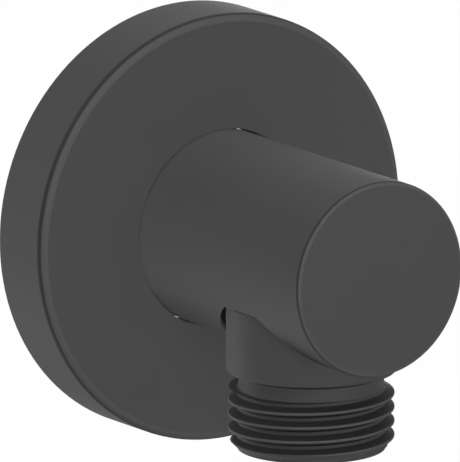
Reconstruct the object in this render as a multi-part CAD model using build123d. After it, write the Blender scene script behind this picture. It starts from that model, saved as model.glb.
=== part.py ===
from build123d import *
import os
from math import ceil, radians, tan

# Wall outlet elbow for a shower hose: a closed round barrel on a push-on rosette, with a screwed-in
# outlet nipple that holds a check valve.
# Sizes are in millimetres. The wall face is the plane Y = 0, the barrel stands out of it along -Y,
# up is +Z, and the origin is where the barrel's axis meets the wall.

# Pipe thread G 1/2: helical on the outlet, plain at its crest diameter on the inlet, which the wall hides
thread_d = 20.955
threads_per_inch = 14
thread_angle = 55.0          # between the flanks
thread_depth_share = 0.640327
thread_land_share = 1 / 6    # crest and root, each as a share of the pitch
ridge_sink = 0.15            # the ridge's foot in the core
ridge_spare = 0.15           # what is turned off the ridge's crest
lead_margin = 0.1            # from the lead chamfer to the nipple's end

# Barrel and inlet
barrel_d = 25.0
barrel_reach = 44.75         # wall to closed front
barrel_edge = 0.5
shoulder_chamfer = 0.5
shoulder_reach = 3.0         # wall to the barrel's shoulder
inlet_length = 11.0          # behind the wall
inlet_relief_d = 18.0
inlet_relief_width = 2.1
inlet_bore_d = 12.0
inlet_bore_depth = 16.0      # in front of the wall
inlet_mouth = 0.6            # chamfer at the mouth of the bore
washer_d = 24.0
washer_thickness = 2.0
washer_clearance = 0.1       # round the inlet thread

# Rosette and its grip ring
rosette_d = 55.0
rosette_depth = 9.5
rosette_wall = 1.6
rosette_face = 2.0
rosette_edge = 1.0
rosette_gap = 0.3            # round the barrel
rosette_corner = 0.8         # bevel of the inside corners
hub_depth = 6.5
hub_wall = 1.5               # behind the ring's groove
grip_thickness = 1.8
grip_width = 2.2
grip_clearance = 0.05        # between the ring and the barrel

# Port for the nipple, measured down from the barrel's axis
outlet_reach = 29.4          # wall to the outlet's axis
recess_floor = 5.54
recess_gap = 0.95            # round the collar
recess_shift = 0.4           # the recess lies this much further out than the nipple
port_depth = 5.0
chamber_d = 14.0
chamber_height = 7.0         # above the barrel's axis
passage_d = 9.0
passage_rise = 2.0           # above the barrel's axis, clear of the recess

# Outlet nipple, measured down from the barrel's axis
collar_d = 21.5
collar_edge = 0.35
collar_ledge = 2.3           # from the shank out to the collar's edge
collar_bottom = 14.3
nipple_end = 24.5
outlet_first_crest = 0.77    # from the end of the collar's cone
outlet_start_angle = -145.6
shank_length = 4.6
shank_clearance = 0.05
shank_chamfer = 0.5
hex_socket = 12.0            # across flats
face_groove_lip = 0.3        # on each side of the groove in the collar's top
face_seal_height = 1.1
seal_clearance = 0.03        # round a rubber ring in its groove
seal_easing = 0.3            # bevel of a ring's corners, as a share of its thinner side

# Check valve cartridge in the nipple's end
valve_bore_d = 14.0
valve_length = 13.5
valve_recess = 0.5           # from the nipple's end
valve_clearance = 0.05
cage_wall = 1.3
seat_d = 7.4
seat_thickness = 2.8
cage_seal_depth = 1.1
cage_seal_width = 1.5
guide_depth = 2.2
guide_ledge = 0.35           # step that the guide rests on
guide_ring_wall = 0.9
guide_fit = 0.02
guide_arms = 3
guide_arm_width = 1.4
guide_hub_wall = 0.7
poppet_travel = 2.2
poppet_d = 9.6
poppet_flange = 1.4
poppet_nose_d = 6.4
poppet_nose_height = 1.4     # above the poppet's seal
poppet_nose_edge = 0.9
poppet_seal_thickness = 1.0
seat_clearance = 0.05        # between the closed seal and its seat
stop_clearance = 0.1         # between the open poppet and the guide's hub
stem_d = 2.4
stem_clearance = 0.05
stem_margin = 0.2            # open stem to the cartridge's end
spring_wire_d = 0.5
spring_gap = 0.3             # round the guide's hub
spring_turns = 4
spring_wire_sides = 6        # the thin wire has few facets
spring_seat_gap = 0.02

# Sizes that follow from the ones above
pitch = 25.4 / threads_per_inch
thread_depth = thread_depth_share * pitch
crest_r = thread_d / 2
root_r = crest_r - thread_depth
thread_land = thread_land_share * pitch
barrel_r = barrel_d / 2
recess_r = collar_d / 2 + recess_gap
shank_r = collar_d / 2 - collar_ledge
port_d = 2 * (shank_r + shank_clearance)
collar_cone_end = collar_bottom + collar_d / 2 - root_r
valve_end = nipple_end - valve_recess
valve_start = valve_end - valve_length
cage_r = valve_bore_d / 2 - valve_clearance
cage_inner_r = cage_r - cage_wall
seat_level = valve_start + seat_thickness
guide_start = valve_end - guide_depth
guide_pocket_r = cage_inner_r + guide_ledge
guide_hub_r = stem_d / 2 + stem_clearance + guide_hub_wall
poppet_seal_top = seat_level + seat_clearance
flange_top = poppet_seal_top + poppet_seal_thickness
flange_bottom = flange_top + poppet_flange
guide_hub_top = flange_bottom + poppet_travel + stop_clearance

# Heights of a piece grow along its own axis: out of the wall or down the outlet.
out_of_wall = Plane(origin=(0, 0, 0), x_dir=(1, 0, 0), z_dir=(0, -1, 0))
down_outlet = Plane(origin=(0, -outlet_reach, 0), x_dir=(1, 0, 0), z_dir=(0, 0, -1))
on_base = (Align.CENTER, Align.CENTER, Align.MIN)
touching = 0.01              # edges this close to a level lie on it


def turned(*corners):
    """Solid of revolution from the (radius, height) corners of its half section."""
    return revolve(Plane.XZ * make_face(Polyline(*corners, close=True)), Axis.Z)


def rod(diameter, start, end):
    """Round bar from one height to another."""
    return Pos(0, 0, start) * Cylinder(diameter / 2, end - start, align=on_base)


def pressed_ring(inner_r, outer_r, start, end):
    """Rubber ring pressed into its groove, with eased corners."""
    width = outer_r - inner_r
    height = end - start
    section = Rectangle(width, height)
    section = chamfer(section.vertices(), seal_easing * min(width, height))
    return revolve(Plane.XZ * Pos(inner_r + width / 2, start + height / 2) * section, Axis.Z)


def thread_turn():
    """One turn of the helical ridge: four ruled sides between helices, closed at both ends."""
    slope = tan(radians(thread_angle / 2))
    foot = (pitch - thread_land) / 2 + ridge_sink * slope
    top = thread_land / 2 - ridge_spare * slope
    corners = (
        (root_r - ridge_sink, -foot),
        (root_r - ridge_sink, foot),
        (crest_r + ridge_spare, top),
        (crest_r + ridge_spare, -top),
    )
    rails = [(Pos(0, 0, height) * Helix(pitch, pitch, radius)).edge() for radius, height in corners]
    sides = [Face.make_surface_from_curves(one, other) for one, other in zip(rails, rails[1:] + rails[:1])]
    ends = [make_face(Polyline(*[rail @ end for rail in rails], close=True)).face() for end in (0, 1)]
    return Solid(Shell(sides + ends))


def hose_thread():
    """Male pipe thread: a core at the root diameter with the ridge wound round it, turn by turn."""
    ridge_end = nipple_end - lead_margin
    first_crest = collar_cone_end + outlet_first_crest
    envelope = turned(
        (0, first_crest - pitch),
        (crest_r, first_crest - pitch),
        (crest_r, ridge_end - thread_depth),
        (0, ridge_end + root_r),
    )
    thread = rod(2 * root_r, collar_bottom, nipple_end)
    turns = ceil((ridge_end - first_crest) / pitch + 0.5)
    for turn in range(turns):
        ridge = Location((0, 0, first_crest + turn * pitch), (0, 0, outlet_start_angle)) * thread_turn()
        thread += ridge & envelope
    return thread


def elbow_body():
    """Barrel with a closed front, the inlet stub behind it and the nipple's port underneath."""
    relief_end = shoulder_reach - inlet_relief_width
    barrel = turned(
        (0, -inlet_length),
        (root_r, -inlet_length),
        (crest_r, thread_depth - inlet_length),
        (crest_r, relief_end),
        (inlet_relief_d / 2, relief_end),
        (inlet_relief_d / 2, shoulder_reach),
        (barrel_r - shoulder_chamfer, shoulder_reach),
        (barrel_r, shoulder_reach + shoulder_chamfer),
        (barrel_r, barrel_reach),
        (0, barrel_reach),
    )
    barrel = fillet(barrel.edges().sort_by(Axis.Z)[-1], barrel_edge)
    body = out_of_wall * barrel
    body -= down_outlet * Pos(0, recess_shift, 0) * rod(2 * recess_r, recess_floor, barrel_d)
    mouth = Cone(inlet_bore_d / 2 + inlet_mouth, inlet_bore_d / 2, inlet_mouth, align=on_base)
    body -= out_of_wall * Pos(0, 0, -inlet_length) * mouth
    body -= out_of_wall * rod(inlet_bore_d, -inlet_length, inlet_bore_depth)
    body -= out_of_wall * Pos(0, passage_rise, 0) * rod(passage_d, inlet_bore_depth, outlet_reach)
    body -= down_outlet * rod(port_d, recess_floor - port_depth, recess_floor)
    body -= down_outlet * rod(chamber_d, -chamber_height, recess_floor - port_depth)
    return body


def inlet_washer():
    """Flat washer round the inlet stub, between the barrel's shoulder and the pipe in the wall."""
    inner_r = crest_r + washer_clearance
    outer_r = washer_d / 2
    ring = turned(
        (inner_r, shoulder_reach - washer_thickness),
        (outer_r, shoulder_reach - washer_thickness),
        (outer_r, shoulder_reach),
        (inner_r, shoulder_reach),
    )
    return out_of_wall * ring


def grip_levels():
    """Inner radius, outer radius and the two ends of the rosette's grip ring."""
    inner_r = barrel_r + grip_clearance
    middle = rosette_depth - hub_depth / 2
    return inner_r, inner_r + grip_thickness, middle - grip_width / 2, middle + grip_width / 2


def wall_rosette():
    """Turned cup, open to the wall, with a hub that grips the barrel by a rubber ring."""
    bore_r = barrel_r + rosette_gap
    _, ring_outer, ring_start, ring_end = grip_levels()
    groove_r = ring_outer + seal_clearance
    hub_r = groove_r + hub_wall
    hub_back = rosette_depth - hub_depth
    face_back = rosette_depth - rosette_face
    outer_r = rosette_d / 2
    rim_r = outer_r - rosette_wall
    cup = turned(
        (rim_r, 0),
        (outer_r, 0),
        (outer_r, rosette_depth),
        (bore_r, rosette_depth),
        (bore_r, hub_back),
        (hub_r, hub_back),
        (hub_r, face_back),
        (rim_r, face_back),
    )
    front_edges = cup.edges().filter_by(GeomType.CIRCLE).group_by(Axis.Z)[-1]
    cup = fillet(front_edges.sort_by(SortBy.RADIUS)[-1], rosette_edge)
    corners = [
        edge
        for edge in cup.edges().filter_by(GeomType.CIRCLE)
        if abs(edge.center().Z - face_back) < touching
    ]
    cup = chamfer(corners, rosette_corner)
    groove = turned(
        (barrel_r, ring_start - seal_clearance),
        (groove_r, ring_start - seal_clearance),
        (groove_r, ring_end + seal_clearance),
        (barrel_r, ring_end + seal_clearance),
    )
    return out_of_wall * (cup - groove)


def rosette_grip_ring():
    """Rubber ring in the rosette's hub, which holds the rosette where it is pushed."""
    return out_of_wall * pressed_ring(*grip_levels())


def face_groove():
    """Inner and outer radius of the seal's groove in the top of the nipple's collar."""
    return shank_r + face_groove_lip, collar_d / 2 - collar_edge - face_groove_lip


def outlet_nipple():
    """Screwed-in nipple: shank, collar, hose thread, hex socket and the check valve's bore."""
    shank_top = recess_floor - shank_length
    nipple = turned(
        (0, shank_top),
        (shank_r - shank_chamfer, shank_top),
        (shank_r, shank_top + shank_chamfer),
        (shank_r, recess_floor),
        (collar_d / 2 - collar_edge, recess_floor),
        (collar_d / 2, recess_floor + collar_edge),
        (collar_d / 2, collar_bottom),
        (root_r, collar_cone_end),
        (0, collar_cone_end),
    )
    nipple += hose_thread()

    groove_inner, groove_outer = face_groove()
    groove_depth = face_seal_height + seal_clearance
    nipple -= turned(
        (groove_inner, recess_floor),
        (groove_outer, recess_floor),
        (groove_outer, recess_floor + groove_depth),
        (groove_inner, recess_floor + groove_depth),
    )
    socket = Pos(0, 0, shank_top) * RegularPolygon(hex_socket / 2, 6, major_radius=False)
    nipple -= extrude(socket, valve_start - shank_top)
    nipple -= rod(valve_bore_d, valve_start, nipple_end)
    return down_outlet * nipple


def nipple_seal():
    """Rubber ring in the top of the collar, pressed against the floor of the recess."""
    groove_inner, groove_outer = face_groove()
    ring = pressed_ring(
        groove_inner + seal_clearance,
        groove_outer - seal_clearance,
        recess_floor + seal_clearance,
        recess_floor + face_seal_height,
    )
    return down_outlet * ring


def cage_groove():
    """Bottom radius and the two ends of the seal's groove round the valve's cage."""
    middle = valve_start + seat_thickness / 2
    half = cage_seal_width / 2 + seal_clearance
    return cage_r - cage_seal_depth, middle - half, middle + half


def valve_cage():
    """Tube of the check valve, with its seat at the inlet end."""
    groove_r, groove_start, groove_end = cage_groove()
    cage = turned(
        (seat_d / 2, valve_start),
        (cage_r, valve_start),
        (cage_r, groove_start),
        (groove_r, groove_start),
        (groove_r, groove_end),
        (cage_r, groove_end),
        (cage_r, valve_end),
        (guide_pocket_r, valve_end),
        (guide_pocket_r, guide_start),
        (cage_inner_r, guide_start),
        (cage_inner_r, seat_level),
        (seat_d / 2, seat_level),
    )
    return down_outlet * cage


def cage_seal():
    """Rubber ring between the cage and the nipple's bore."""
    groove_r, groove_start, groove_end = cage_groove()
    ring = pressed_ring(
        groove_r + seal_clearance,
        valve_bore_d / 2 - seal_clearance,
        groove_start + seal_clearance,
        groove_end - seal_clearance,
    )
    return down_outlet * ring


def valve_guide():
    """Spoked ring in the cage's end, with a hub for the poppet's stem."""
    ring_r = guide_pocket_r - guide_fit
    inner_r = ring_r - guide_ring_wall
    guide = rod(2 * ring_r, guide_start, valve_end) - rod(2 * inner_r, guide_start, valve_end)
    reach = ring_r - guide_ring_wall / 2
    arm = Pos(reach / 2, 0, guide_start) * Box(reach, guide_arm_width, guide_depth, align=on_base)
    for turn in range(guide_arms):
        guide += Rot(0, 0, 360 * turn / guide_arms) * arm
    guide += rod(2 * guide_hub_r, guide_hub_top, valve_end)
    guide -= rod(stem_d + 2 * stem_clearance, guide_hub_top, valve_end)
    return down_outlet * guide


def valve_poppet():
    """Mushroom that closes the seat: a blunt nose, a flange for its seal and a stem."""
    nose_top = poppet_seal_top - poppet_nose_height
    stem_end = valve_end - poppet_travel - stem_margin
    poppet = turned(
        (0, nose_top),
        (poppet_nose_d / 2 - poppet_nose_edge, nose_top),
        (poppet_nose_d / 2, nose_top + poppet_nose_edge),
        (poppet_nose_d / 2, flange_top),
        (poppet_d / 2, flange_top),
        (poppet_d / 2, flange_bottom),
        (stem_d / 2, flange_bottom),
        (stem_d / 2, stem_end),
        (0, stem_end),
    )
    return down_outlet * poppet


def poppet_seal():
    """Flat rubber ring round the poppet's nose."""
    inner_r = poppet_nose_d / 2 + seal_clearance
    ring = turned(
        (inner_r, poppet_seal_top),
        (poppet_d / 2, poppet_seal_top),
        (poppet_d / 2, flange_top),
        (inner_r, flange_top),
    )
    return down_outlet * ring


def valve_spring():
    """Compression spring between the poppet's flange and the guide's arms, round the hub."""
    coil_r = guide_hub_r + spring_gap + spring_wire_d / 2
    start = flange_bottom + spring_wire_d / 2 + spring_seat_gap
    end = guide_start - spring_wire_d / 2 - spring_seat_gap
    coil = Helix((end - start) / spring_turns, end - start, coil_r)
    wire = Plane(origin=coil @ 0, z_dir=coil % 0) * RegularPolygon(spring_wire_d / 2, spring_wire_sides)
    return down_outlet * Pos(0, 0, start) * sweep(wire, coil, is_frenet=True)


pieces = {
    "elbow_body": elbow_body(),
    "inlet_washer": inlet_washer(),
    "wall_rosette": wall_rosette(),
    "rosette_grip_ring": rosette_grip_ring(),
    "outlet_nipple": outlet_nipple(),
    "nipple_seal": nipple_seal(),
    "valve_cage": valve_cage(),
    "cage_seal": cage_seal(),
    "valve_guide": valve_guide(),
    "valve_poppet": valve_poppet(),
    "poppet_seal": poppet_seal(),
    "valve_spring": valve_spring(),
}

os.makedirs("parts", exist_ok=True)
for name, piece in pieces.items():
    export_step(piece, f"parts/{name}.step")
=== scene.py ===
import bpy
import math
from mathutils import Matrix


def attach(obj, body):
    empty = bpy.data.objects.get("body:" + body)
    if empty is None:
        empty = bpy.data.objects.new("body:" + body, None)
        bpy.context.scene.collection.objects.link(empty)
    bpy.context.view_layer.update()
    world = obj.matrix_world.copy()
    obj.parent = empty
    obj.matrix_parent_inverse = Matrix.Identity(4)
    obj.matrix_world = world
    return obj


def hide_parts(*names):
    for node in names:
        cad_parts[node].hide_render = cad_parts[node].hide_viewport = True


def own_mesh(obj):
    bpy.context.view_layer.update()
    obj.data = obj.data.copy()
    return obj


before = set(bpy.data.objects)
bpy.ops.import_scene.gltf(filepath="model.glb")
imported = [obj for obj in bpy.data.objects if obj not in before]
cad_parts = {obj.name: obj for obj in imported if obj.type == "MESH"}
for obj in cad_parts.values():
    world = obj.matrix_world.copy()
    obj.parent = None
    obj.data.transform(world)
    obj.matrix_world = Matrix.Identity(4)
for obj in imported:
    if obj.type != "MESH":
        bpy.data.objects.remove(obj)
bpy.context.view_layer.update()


# Elbow body: a turned brass bar with a matte dark coat, drilled from behind and from below.
# The solid's inlet stub is plain, so a copy of it gets the G 1/2 thread that screws into the wall, cut
# as a helical groove that runs in from the relief behind the shoulder and out at the chamfered end.
mm = 0.001
thread_pitch = 25.4 / 14 * mm
thread_depth = 1.1617 * mm
thread_crest = 10.4775 * mm
thread_root = thread_crest - thread_depth
thread_land = thread_pitch / 6
merge_reach = 0.0005 * mm


def section(name, corners):
    """Closed outline in the XZ plane, drawn by extruding one vertex from corner to corner."""
    bpy.ops.object.select_all(action="DESELECT")
    bpy.ops.mesh.primitive_plane_add(size=mm)
    outline = bpy.context.object
    outline.name = name
    bpy.ops.object.mode_set(mode="EDIT")
    bpy.ops.mesh.merge(type="CENTER")
    place = (0.0, 0.0)
    for count, (x, z) in enumerate(corners):
        step = (x - place[0], 0.0, z - place[1])
        if count == 0:
            bpy.ops.transform.translate(value=step)
        else:
            bpy.ops.mesh.extrude_region_move(TRANSFORM_OT_translate={"value": step})
        place = (x, z)
    bpy.ops.mesh.select_all(action="SELECT")
    bpy.ops.mesh.edge_face_add()
    bpy.ops.mesh.delete(type="ONLY_FACE")
    bpy.ops.object.mode_set(mode="OBJECT")
    return outline


def apply_all(piece):
    """Applies a piece's modifiers in their order, and its place to its mesh."""
    bpy.ops.object.select_all(action="DESELECT")
    piece.select_set(True)
    bpy.context.view_layer.objects.active = piece
    for modifier in list(piece.modifiers):
        bpy.ops.object.modifier_apply(modifier=modifier.name)
    bpy.ops.object.transform_apply(location=True, rotation=True, scale=True)


def close_up(piece):
    """Merges the doubled points, fills the open ends and turns all faces outwards."""
    bpy.ops.object.select_all(action="DESELECT")
    piece.select_set(True)
    bpy.context.view_layer.objects.active = piece
    bpy.ops.object.mode_set(mode="EDIT")
    bpy.ops.mesh.select_all(action="SELECT")
    bpy.ops.mesh.remove_doubles(threshold=merge_reach)
    bpy.ops.mesh.fill_holes(sides=0)
    bpy.ops.mesh.normals_make_consistent(inside=False)
    bpy.ops.object.mode_set(mode="OBJECT")


def wind(outline, pitch, turns, steps):
    """Winds an outline into a right-handed helix, from its own level downwards."""
    coil = outline.modifiers.new("coil", "SCREW")
    coil.axis = "Z"
    coil.angle = -2 * math.pi
    coil.screw_offset = -pitch
    coil.iterations = turns
    coil.steps = steps
    coil.render_steps = steps
    coil.use_merge_vertices = False
    apply_all(outline)
    close_up(outline)


def cut(piece, tool, how):
    """Joins, cuts or trims a piece with another solid, which is then thrown away."""
    join = piece.modifiers.new(how.lower(), "BOOLEAN")
    join.operation = how
    join.solver = "MANIFOLD"
    join.object = tool
    apply_all(piece)
    bpy.data.objects.remove(tool)


barrel = bpy.data.objects.new("barrel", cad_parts["elbow_body"].data.copy())
bpy.context.scene.collection.objects.link(barrel)
close_up(barrel)
bpy.ops.mesh.customdata_custom_splitnormals_clear()

groove_top = (thread_pitch - thread_land) / 2
groove_foot = thread_land / 2
groove_proud = 0.3 * mm
groove_slope = (groove_top - groove_foot) / thread_depth
groove_turns = 8
groove_steps = 96
groove_start = -2.0 * mm
groove_wide = groove_top + groove_proud * groove_slope
groove = section("inlet_groove", [
    (thread_crest + groove_proud, groove_wide),
    (thread_root, groove_foot),
    (thread_root, -groove_foot),
    (thread_crest + groove_proud, -groove_wide),
])
wind(groove, thread_pitch, groove_turns, groove_steps)
groove.rotation_euler = (math.radians(90), 0, 0)
groove.location = (0, groove_start, 0)
apply_all(groove)
cut(barrel, groove, "DIFFERENCE")
close_up(barrel)
bpy.ops.object.shade_smooth_by_angle(angle=math.radians(30))


class Tone:
    """A value in a material's nodes. Sums, differences and products of tones add Math nodes."""

    def __init__(self, tree, socket):
        self.tree = tree
        self.socket = socket

    def node(self, kind, settings, sockets):
        """Adds any other node, with its settings and the values or links of its sockets."""
        made = self.tree.nodes.new(kind)
        for name, value in settings.items():
            setattr(made, name, value)
        for name, value in sockets.items():
            if isinstance(value, Tone):
                self.tree.links.new(value.socket, made.inputs[name])
            else:
                made.inputs[name].default_value = value
        return made

    def pick(self, made, output):
        return Tone(self.tree, made.outputs[output])

    def math(self, operation, first, second):
        return self.pick(self.node("ShaderNodeMath", {"operation": operation}, {0: first, 1: second}), 0)

    def __add__(self, other):
        return self.math("ADD", self, other)

    def __radd__(self, other):
        return self.math("ADD", other, self)

    def __sub__(self, other):
        return self.math("SUBTRACT", self, other)

    def __rsub__(self, other):
        return self.math("SUBTRACT", other, self)

    def __mul__(self, other):
        return self.math("MULTIPLY", self, other)

    def __rmul__(self, other):
        return self.math("MULTIPLY", other, self)


def new_finish(name):
    """An empty material with a surface shader, and the tone that reads places on the piece."""
    material = bpy.data.materials.new(name)
    material.use_nodes = True
    tree = material.node_tree
    place = Tone(tree, tree.nodes.new("ShaderNodeTexCoord").outputs["Object"])
    return material, tree.nodes["Principled BSDF"], place


def noise(place, scale, detail):
    """Soft random tone, from 0 to 1, with spots of about one scale-th of a metre."""
    made = place.node("ShaderNodeTexNoise", {}, {"Vector": place, "Scale": scale, "Detail": detail})
    return place.pick(made, "Fac")


def set_constants(shader, **values):
    for name, value in values.items():
        shader.inputs[name.replace("_", " ")].default_value = value


def drive(shader, place, **tones):
    for name, tone in tones.items():
        place.tree.links.new(tone.socket, shader.inputs[name.replace("_", " ")])


def between(place, first, second, amount):
    """Colour that goes from the first to the second as the amount goes from 0 to 1."""
    made = place.node("ShaderNodeMix", {"data_type": "RGBA"}, {"Factor": amount, 6: first, 7: second})
    return place.pick(made, 2)


def grain(place, height, strength, distance):
    """Raises the surface by a tone, seen in its shading only."""
    made = place.node("ShaderNodeBump", {}, {"Height": height, "Strength": strength, "Distance": distance})
    return place.pick(made, "Normal")


def rises(tone, start, end):
    """Tone that goes smoothly from 0 at the start to 1 at the end."""
    limits = {"Value": tone, "From Min": start, "From Max": end}
    made = tone.node("ShaderNodeMapRange", {"interpolation_type": "SMOOTHSTEP"}, limits)
    return tone.pick(made, "Result")


def grey(level):
    return (level, level, level, 1)


def paint(piece, material):
    """Gives a piece one material for all of its faces."""
    piece.data.materials.clear()
    piece.data.materials.append(material)


def off_axis(place, across, start):
    """Distance of each place on the piece from an axis through the start, in the directions across it."""
    moved = place.node("ShaderNodeVectorMath", {"operation": "SUBTRACT"}, {0: place, 1: start})
    flat = place.node("ShaderNodeVectorMath", {"operation": "MULTIPLY"}, {0: place.pick(moved, 0), 1: across})
    far = place.node("ShaderNodeVectorMath", {"operation": "LENGTH"}, {0: place.pick(flat, 0)})
    return place.pick(far, "Value")


def along(place, direction):
    """Where each place on the piece lies along X, Y or Z."""
    return place.pick(place.node("ShaderNodeSeparateXYZ", {}, {0: place}), direction)


def new_coat(name):
    """The matte coat: nearly even in colour, with a fine sprayed grain. Gives its colour tone too."""
    material, shader, place = new_finish(name)
    coat_cloud = noise(place, 90.0, 2.0)
    coat_grain = noise(place, 5200.0, 2.0)
    set_constants(shader, IOR=1.5, Specular_IOR_Level=0.08)
    colour = between(place, grey(0.062), grey(0.068), coat_cloud)
    drive(
        shader,
        place,
        Base_Color=colour,
        Roughness=0.62 + 0.06 * coat_cloud,
        Normal=grain(place, coat_grain, 0.25, 0.006 * mm),
    )
    return material, shader, place, colour


def edge_shade_and_highlight(place, colour, front, rim, edge):
    """Paints shade and a highlight on a rounded front edge: a dark band of painted shade next to the side,
    and a light band of painted highlight next to the face.
    The bounds of both bands are shares of the edge's radius."""
    on_edge = rises(off_axis(place, (1, 0, 1), (0, 0, 0)), rim - 1.05 * edge, rim - 0.9 * edge)
    back = along(place, "Y")
    off_face = rises(back, front + 0.3 * edge, front + 0.5 * edge)
    dark = on_edge * off_face * (1 - rises(back, front + 0.9 * edge, front + 1.2 * edge))
    colour = between(place, colour, grey(0.034), dark)
    return between(place, colour, grey(0.082), on_edge * (1 - off_face))


def thread_light_and_shade(place, colour, radius, zone):
    """Paints light and shade on a thread: painted highlights on the crests, a lighter painted line in the
    roots, and painted shade on the flanks between them.
    The zone is 1 where the thread is, and each band fades over a few hundredths of a millimetre."""
    off_root = rises(radius, thread_root + 0.06 * mm, thread_root + 0.14 * mm)
    crest = rises(radius, thread_crest - 0.10 * mm, thread_crest - 0.04 * mm)
    root = rises(radius, thread_root - 0.1 * mm, thread_root - 0.06 * mm) * (1 - off_root)
    colour = between(place, colour, grey(0.013), off_root * (1 - crest) * zone)
    colour = between(place, colour, grey(0.052), root * zone)
    return between(place, colour, grey(0.074), crest * zone)


barrel_r = 12.5 * mm
barrel_front = -44.75 * mm
barrel_edge = 0.5 * mm
recess_y = -29.8 * mm
recess_r = 11.7 * mm
recess_floor = -5.54 * mm
recess_lip = 0.1 * mm
recess_shade = (0.1 * mm, 0.9 * mm)
corner_reach = (recess_r + 0.5 * mm, recess_r + 4.6 * mm)
corner_top = (-10.0 * mm, -6.0 * mm)
corner_back = (-37.0 * mm, -33.0 * mm)
corner_front = (-44.5 * mm, -44.0 * mm)
corner_share = 0.95
inlet_start = (0.5 * mm, 0.8 * mm)
inlet_end = (9.6 * mm, 9.8 * mm)
barrel_coat, shader, place, colour = new_coat("barrel_coat")
from_recess = off_axis(place, (1, 1, 0), (0, recess_y, 0))
radius = off_axis(place, (1, 0, 1), (0, 0, 0))
back = along(place, "Y")
height = along(place, "Z")

# The recess is painted nearly black as shade under the skin, and the skin between the outlet and the front is
# painted darker as shade
inside = 1 - rises(from_recess, recess_r, recess_r + recess_lip)
inside = inside * (1 - rises(height, recess_floor, 0))
recess_painted_shade = inside * rises(barrel_r - radius, *recess_shade)
corner = (1 - rises(from_recess, *corner_reach)) * (1 - rises(height, *corner_top))
corner = corner * (1 - rises(back, *corner_back)) * rises(back, *corner_front)
colour = between(place, colour, grey(0.01), corner_share * corner)
colour = between(place, colour, grey(0.006), recess_painted_shade)
# Painted shade and highlight on the rounded front edge, and painted light and shade on the inlet thread
colour = edge_shade_and_highlight(place, colour, barrel_front, barrel_r, barrel_edge)
inlet = rises(back, *inlet_start) * (1 - rises(back, *inlet_end))
drive(shader, place, Base_Color=thread_light_and_shade(place, colour, radius, inlet))
paint(barrel, barrel_coat)
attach(barrel, "elbow")
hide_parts("elbow_body")


# Inlet washer: a flat ring stamped out of fibre-filled black rubber, with a dull, faintly speckled face.
# It sits round the inlet stub against the barrel's shoulder and seals on the pipe in the wall.
black_rubber, shader, place = new_finish("black_rubber")
rubber_speckle = noise(place, 2600.0, 3.0)
set_constants(shader, IOR=1.45)
drive(
    shader,
    place,
    Base_Color=between(place, grey(0.014), (0.028, 0.028, 0.027, 1), rubber_speckle),
    Roughness=0.58 + 0.2 * rubber_speckle,
    Normal=grain(place, rubber_speckle, 0.4, 0.02 * mm),
)
for node in ("inlet_washer", "rosette_grip_ring", "nipple_seal", "cage_seal", "poppet_seal"):
    paint(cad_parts[node], black_rubber)


# Wall rosette: a turned brass cup with a rounded front edge, coated like the body.
# It is pushed along the barrel to the wall, where a rubber ring in its hub holds it.
rosette_front = -9.5 * mm
rosette_r = 27.5 * mm
rosette_edge = 1.0 * mm
dark_coat, shader, place, colour = new_coat("dark_coat")
# The rounded front edge gets a painted dark band of shade and a painted highlight.
drive(shader, place, Base_Color=edge_shade_and_highlight(place, colour, rosette_front, rosette_r, rosette_edge))
paint(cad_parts["wall_rosette"], dark_coat)


# Outlet nipple: turned brass with the same coat, screwed into the body from below by a key in its hexagon.
# Its collar stands in the body's recess, and a hose screws onto the G 1/2 thread under it, whose
# crests are a little rounded by the coat.
outlet_y = -29.4 * mm
collar_r = 10.75 * mm
collar_edge = 0.35 * mm
collar_round = 0.12 * mm
shank_r = 8.45 * mm
groove_inner = 8.75 * mm
groove_outer = 10.1 * mm
seal_floor = recess_floor - 1.13 * mm
collar_bottom = -14.3 * mm
neck_r = 9.17 * mm
neck_top = -14.96 * mm
neck_end = -16.57 * mm
nipple_end = -24.5 * mm
shank_top = -0.94 * mm
shank_chamfer = 0.5 * mm
valve_bore = 7.0 * mm
valve_start = -10.5 * mm
hex_flats = 12.0 * mm
hex_overrun = 0.2 * mm
first_crest = -14.69 * mm
start_angle = math.radians(145.6)
core_r = thread_root + 0.02 * mm
socket_r = 5.0 * mm
turned_sides = 144


def turn_round(outline):
    """Turns an outline round the vertical axis into a closed solid."""
    bpy.ops.object.mode_set(mode="EDIT")
    bpy.ops.mesh.select_all(action="SELECT")
    bpy.ops.mesh.spin(steps=turned_sides, angle=2 * math.pi, center=(0, 0, 0), axis=(0, 0, 1))
    bpy.ops.object.mode_set(mode="OBJECT")
    close_up(outline)


nipple = section("nipple", [
    (socket_r, shank_top),
    (shank_r - shank_chamfer, shank_top),
    (shank_r, shank_top - shank_chamfer),
    (shank_r, recess_floor),
    (groove_inner, recess_floor),
    (groove_inner, seal_floor),
    (groove_outer, seal_floor),
    (groove_outer, recess_floor),
    (collar_r - collar_edge, recess_floor),
    (collar_r, recess_floor - collar_edge),
    (collar_r, collar_bottom + collar_round),
    (collar_r - 0.12 * collar_round, collar_bottom + 0.4 * collar_round),
    (collar_r - 0.45 * collar_round, collar_bottom - 0.2 * collar_round),
    (collar_r - collar_round, collar_bottom - collar_round),
    (neck_r, neck_top),
    (neck_r, neck_end),
    (core_r, neck_end),
    (core_r, nipple_end),
    (valve_bore, nipple_end),
    (valve_bore, valve_start),
    (socket_r, valve_start),
])
turn_round(nipple)

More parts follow.
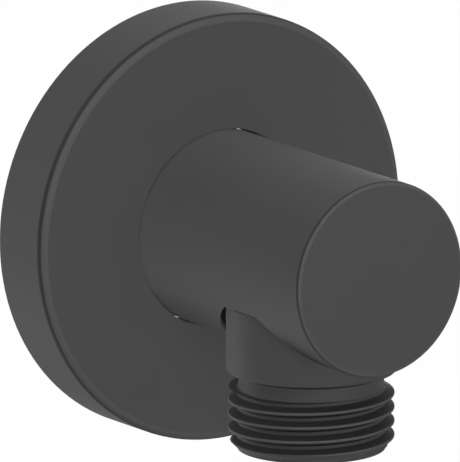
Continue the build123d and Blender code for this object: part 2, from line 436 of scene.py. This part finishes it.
# The thread is a ridge wound onto the core. It starts above the neck's end and is trimmed to its level
crest_round = 0.11 * mm
crest_segments = 3
ridge_turns = 6
ridge_steps = 112
foot_sink = 0.15 * mm
ridge_foot = (thread_pitch - thread_land) / 2 + foot_sink * groove_slope
ridge = section("hose_thread", [
    (thread_root - foot_sink, ridge_foot),
    (thread_root - foot_sink, -ridge_foot),
    (thread_crest, -thread_land / 2),
    (thread_crest, thread_land / 2),
])
bpy.ops.object.mode_set(mode="EDIT")
bpy.ops.mesh.select_all(action="DESELECT")
bpy.ops.object.mode_set(mode="OBJECT")
for vertex in ridge.data.vertices:
    vertex.select = vertex.co.x > thread_root
bpy.ops.object.mode_set(mode="EDIT")
bpy.ops.mesh.bevel(affect="VERTICES", offset=crest_round, segments=crest_segments)
bpy.ops.object.mode_set(mode="OBJECT")
wind(ridge, thread_pitch, ridge_turns, ridge_steps)
ridge.rotation_euler = (0, 0, start_angle)
ridge.location = (0, 0, first_crest)
apply_all(ridge)

# The ridge ends a hair under the neck and inside the core, so that no two faces lie in one plane
ridge_top = neck_end - 0.01 * mm
lead_end = nipple_end + 0.1 * mm
lead_sink = 0.05 * mm
envelope = section("lead_cone", [
    (socket_r, ridge_top),
    (thread_crest + crest_round, ridge_top),
    (thread_crest + crest_round, lead_end + thread_depth + crest_round),
    (thread_root - lead_sink, lead_end - lead_sink),
    (socket_r, lead_end - lead_sink),
])
turn_round(envelope)
cut(ridge, envelope, "INTERSECT")
cut(nipple, ridge, "UNION")

bpy.ops.object.select_all(action="DESELECT")
bpy.ops.mesh.primitive_cylinder_add(
    vertices=6,
    radius=hex_flats / 2 / math.cos(math.radians(30)),
    depth=shank_top - valve_start + hex_overrun,
    location=(0, 0, (shank_top + valve_start) / 2),
)
hexagon = bpy.context.object
apply_all(hexagon)
cut(nipple, hexagon, "DIFFERENCE")
close_up(nipple)
nipple.location = (0, outlet_y, 0)
apply_all(nipple)
bpy.ops.object.shade_smooth_by_angle(angle=math.radians(32))

# The collar's underside is painted dark as shade, and the thread's painted light and shade stop at the neck
# and at the lead chamfer
tone_fade = 0.1 * mm
shade_start = neck_r + 0.2 * mm
shade_end = (collar_bottom - 0.15 * mm, collar_bottom - 0.02 * mm)
lead_start = (lead_end + 0.95 * mm, lead_end + 1.15 * mm)
nipple_coat, shader, place, colour = new_coat("nipple_coat")
radius = off_axis(place, (1, 1, 0), (0, outlet_y, 0))
height = along(place, "Z")
above_thread = rises(height, neck_end, neck_end + tone_fade)
collar_painted_shade = rises(radius, shade_start, shade_start + tone_fade) * above_thread
collar_painted_shade = collar_painted_shade * (1 - rises(height, *shade_end))
threaded = (1 - above_thread) * rises(height, *lead_start)
colour = between(place, colour, grey(0.012), collar_painted_shade)
drive(shader, place, Base_Color=thread_light_and_shade(place, colour, radius, threaded))
paint(nipple, nipple_coat)
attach(nipple, "elbow")
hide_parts("outlet_nipple")


# Check valve: cage, spoked guide and poppet are moulded in natural white plastic with a fine moulded grain.
# The cage is pressed into the nipple's end, the guide into the cage, and the poppet slides in the guide.
white_plastic, shader, place = new_finish("white_plastic")
plastic_cloud = noise(place, 240.0, 2.0)
plastic_grain = noise(place, 4200.0, 2.0)
set_constants(shader, IOR=1.5)
drive(
    shader,
    place,
    Base_Color=between(place, (0.70, 0.69, 0.65, 1), (0.78, 0.77, 0.74, 1), plastic_cloud),
    Roughness=0.36 + 0.1 * plastic_cloud,
    Normal=grain(place, plastic_grain, 0.2, 0.008 * mm),
)
for node in ("valve_cage", "valve_guide", "valve_poppet"):
    paint(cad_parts[node], white_plastic)


# Valve spring: drawn stainless wire, coiled cold, with fine die lines along the wire. It stands on the
# guide's arms and carries the poppet, so it shortens as the water pushes the poppet open.
wire_r = 0.25 * mm
coil_r = 2.5 * mm
coil_top = -16.02 * mm
coil_turns = 4
coil_pitch = 1.3775 * mm
coil_steps = 48
wire_sides = 12
wire_angles = [2 * math.pi * side / wire_sides for side in range(wire_sides)]
spring = section("coil_spring", [
    (coil_r + wire_r * math.cos(angle), coil_top + wire_r * math.sin(angle)) for angle in wire_angles
])
wind(spring, coil_pitch, coil_turns, coil_steps)
spring.location = (0, outlet_y, 0)
apply_all(spring)
bpy.ops.object.shade_smooth_by_angle(angle=math.radians(40))

spring_wire, shader, place = new_finish("spring_wire")
wire_lines = noise(place, 9000.0, 3.0)
set_constants(shader, Metallic=1.0)
drive(
    shader,
    place,
    Base_Color=between(place, (0.46, 0.46, 0.47, 1), (0.60, 0.60, 0.61, 1), wire_lines),
    Roughness=0.22 + 0.14 * wire_lines,
)
paint(spring, spring_wire)
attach(spring, "elbow")
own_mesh(spring)
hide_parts("valve_spring")


# Floor: a plain pale sheet well under the fitting, which hangs on no wall here. It reads as white to the
# camera and in reflections, keeps the soft shadow, and is clear from below.
floor_size = 9.0
floor_level = -0.8
floor_white = 1.02
seen_share = 0.97
bpy.ops.object.select_all(action="DESELECT")
bpy.ops.mesh.primitive_plane_add(size=floor_size, location=(0, 0, floor_level))
floor = bpy.context.object
floor.name = "floor"
pale_floor, shader, place = new_finish("pale_floor")
light_path = place.node("ShaderNodeLightPath", {}, {})
seen = place.pick(light_path, "Is Camera Ray") + place.pick(light_path, "Is Glossy Ray")
seen = seen + place.pick(light_path, "Is Transmission Ray")
set_constants(shader, Base_Color=grey(0.82), Roughness=0.9)
glow = place.node("ShaderNodeEmission", {}, {"Color": grey(1), "Strength": floor_white})
clear = place.node("ShaderNodeBsdfTransparent", {}, {})
under = place.pick(place.node("ShaderNodeNewGeometry", {}, {}), "Backfacing")
pale = place.node("ShaderNodeMixShader", {}, {
    0: seen * seen_share,
    1: place.pick(shader, 0),
    2: place.pick(glow, 0),
})
sheet = place.node("ShaderNodeMixShader", {}, {0: under, 1: place.pick(pale, 0), 2: place.pick(clear, 0)})
place.tree.links.new(sheet.outputs[0], place.tree.nodes["Material Output"].inputs["Surface"])
floor.data.materials.append(pale_floor)


# Room: a little even light from all round. It is white where the camera looks past the floor and in
# reflections, so that the backdrop stays clean from every side.
dim_strength = 0.04
white_strength = 1.0
world = bpy.data.worlds.new("room")
bpy.context.scene.world = world
world.use_nodes = True
room = Tone(world.node_tree, None)
light_path = room.node("ShaderNodeLightPath", {}, {})
dim = room.node("ShaderNodeBackground", {}, {"Color": grey(1), "Strength": dim_strength})
white = room.node("ShaderNodeBackground", {}, {"Color": grey(1), "Strength": white_strength})
seen = room.pick(light_path, "Is Camera Ray") + room.pick(light_path, "Is Glossy Ray")
mixed = room.node("ShaderNodeMixShader", {}, {
    0: seen + room.pick(light_path, "Is Transmission Ray"),
    1: room.pick(dim, 0),
    2: room.pick(white, 0),
})
world.node_tree.links.new(mixed.outputs[0], world.node_tree.nodes["World Output"].inputs["Surface"])


# Lamps: soft boxes round the fitting, out of the camera's sight. One from high on the left lights it with
# shadows, and the rest fill in without any, so that the rosette's face stays even right up to the barrel.
soft_boxes = (
    # azimuth from straight out of the wall, elevation, distance, size, power, casts shadows
    ("left_high_box", -50, 45, 1.0, 0.5, 2.5, True),
    ("front_fill", 10, 0, 1.0, 0.35, 4.55, False),
    ("front_high_fill", 20, 35, 1.0, 0.4, 2.05, False),
    ("left_high_fill", -70, 35, 1.0, 0.4, 4.2, False),
    ("back_fill", -170, 0, 1.0, 0.35, 3.0, False),
    ("back_low_fill", -150, -35, 0.9, 0.4, 3.1, False),
    ("back_high_fill", -150, 35, 1.0, 0.4, 0.75, False),
    ("right_back_high_fill", 150, 35, 1.0, 0.4, 1.4, False),
    ("right_back_fill", 148, -5, 1.0, 0.4, 2.5, False),
)
lamps_aim = (0, -22.0 * mm, -2.0 * mm)
for name, azimuth, elevation, distance, size, power, casts in soft_boxes:
    turn = math.radians(azimuth)
    rise = math.radians(elevation)
    lamp = bpy.data.lights.new(name, "AREA")
    lamp.size = size
    lamp.energy = power
    lamp.use_shadow = casts
    box = bpy.data.objects.new(name, lamp)
    bpy.context.scene.collection.objects.link(box)
    away = (math.sin(turn) * math.cos(rise), -math.cos(turn) * math.cos(rise), math.sin(rise))
    box.location = [m + distance * a for m, a in zip(lamps_aim, away)]
    box.rotation_euler = (math.radians(90) - rise, 0, turn)
    box.visible_camera = False


# Camera: a very long lens at the height and side of the photograph, so that lines stay nearly parallel.
# Its aim is the middle of the picture.
camera_distance = 2690.8 * mm
camera = bpy.data.objects.new("camera", bpy.data.cameras.new("camera"))
bpy.context.scene.collection.objects.link(camera)
camera.data.sensor_width = 36.0
camera.data.lens = 1654.85
camera.data.clip_start = 0.1
camera.data.clip_end = 20.0
turn = math.radians(-34.1606)
rise = math.radians(12.9501)
aim = (4.3060 * mm, -4.8221 * mm, -1.8739 * mm)
away = (math.sin(turn) * math.cos(rise), -math.cos(turn) * math.cos(rise), math.sin(rise))
camera.location = [a + camera_distance * b for a, b in zip(aim, away)]
camera.rotation_euler = (math.radians(90) - rise, 0, turn)
bpy.context.scene.camera = camera
bpy.context.scene.view_settings.view_transform = "Standard"
